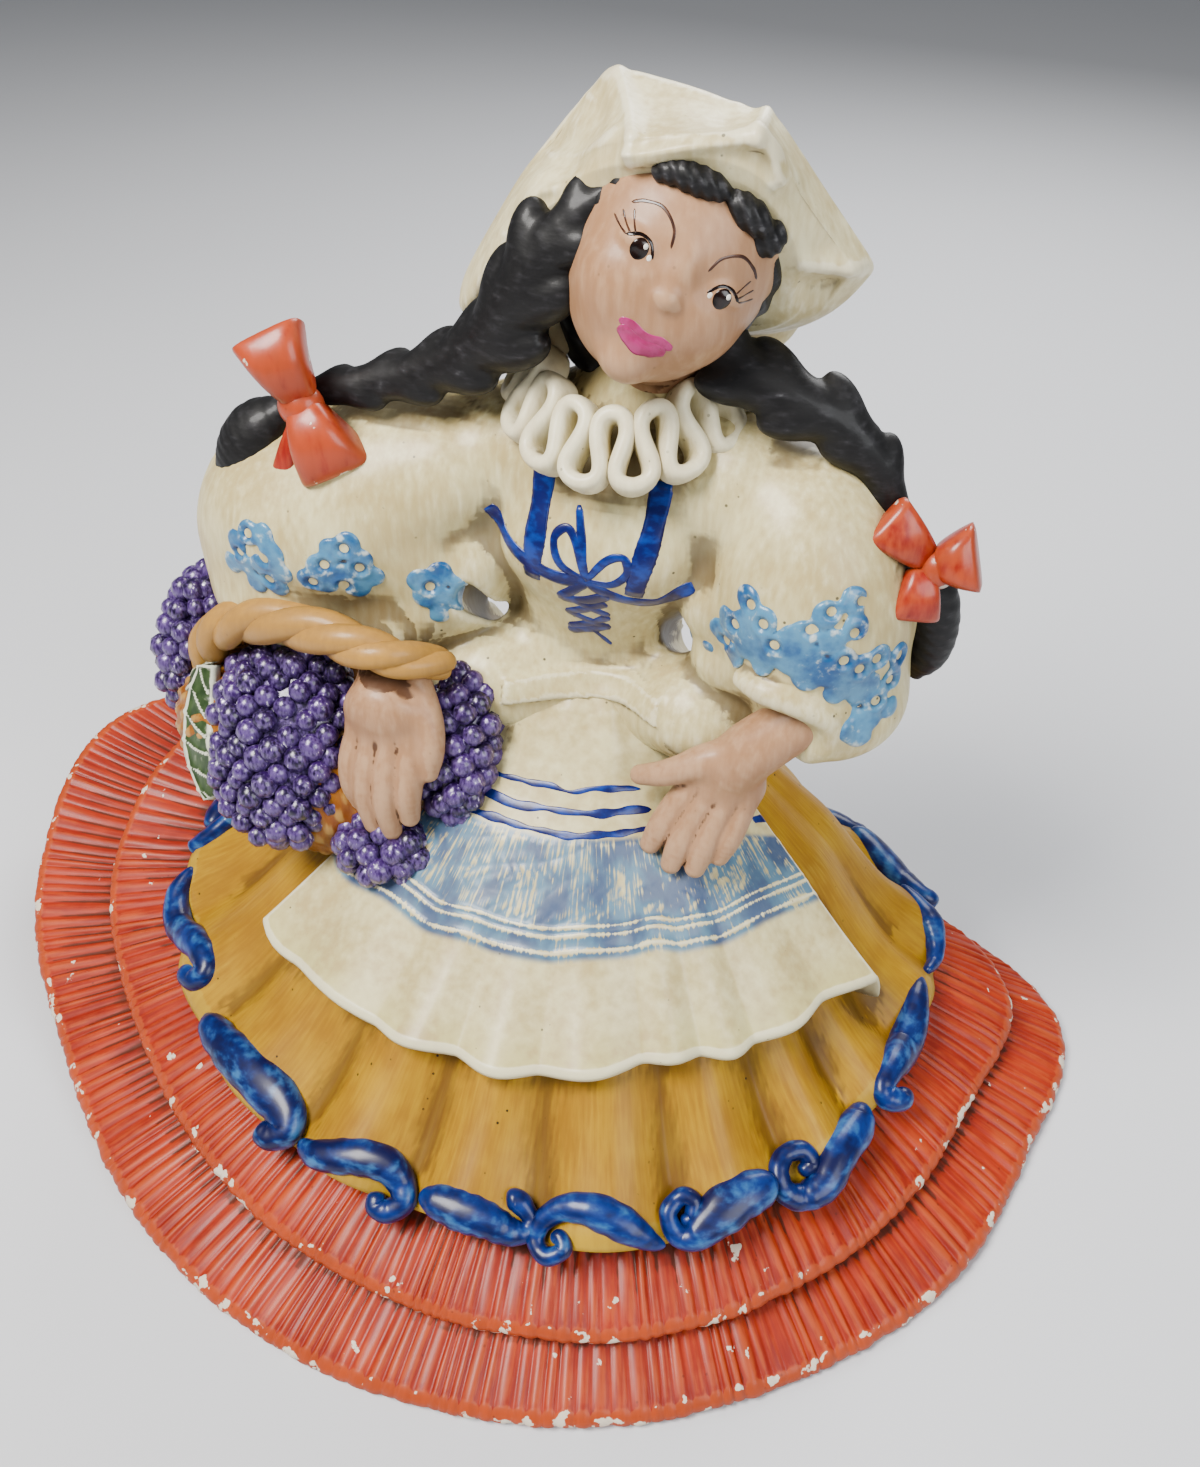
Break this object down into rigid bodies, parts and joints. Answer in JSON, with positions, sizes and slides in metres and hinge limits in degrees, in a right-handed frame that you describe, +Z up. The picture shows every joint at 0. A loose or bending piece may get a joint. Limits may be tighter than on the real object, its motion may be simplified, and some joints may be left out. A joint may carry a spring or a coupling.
{
  "type": "ceramic girl figurine",
  "caption": "Painted ceramic figurine of a girl in a wide flounced skirt with a folded headcloth and a basket of grapes on her hip.",
  "frame": {"origin": "centre of the waist projected on the flat underside, on the plane that stands on a shelf", "axes": "+Z up, -Y the way she faces, +X towards her left hand"},
  "size_m": [0.2843, 0.1945, 0.23],
  "materials": {
    "cream_paint": "cream paint with a brown wash in the hollows, under clear varnish",
    "orange_paint": "orange dry-brushed paint, white where the edges are chipped, under clear varnish",
    "yellow_paint": "yellow paint streaked with ochre and brown in the folds, under clear varnish",
    "blue_paint": "deep blue glossy paint with lighter brush streaks",
    "skin_paint": "satin flesh paint with a brown wash",
    "black_paint": "black paint, streaky, under clear varnish",
    "purple_paint": "pearly purple paint, dry-brushed with white",
    "green_paint": "dark green paint wiped off the ribs",
    "wicker_paint": "ochre paint with a brown wash in the strands",
    "bare_ceramic": "bare white earthenware under the base"
  },
  "bodies": {
    "root": {"girl_figurine": "cream_paint"}
  },
  "joints": []
}
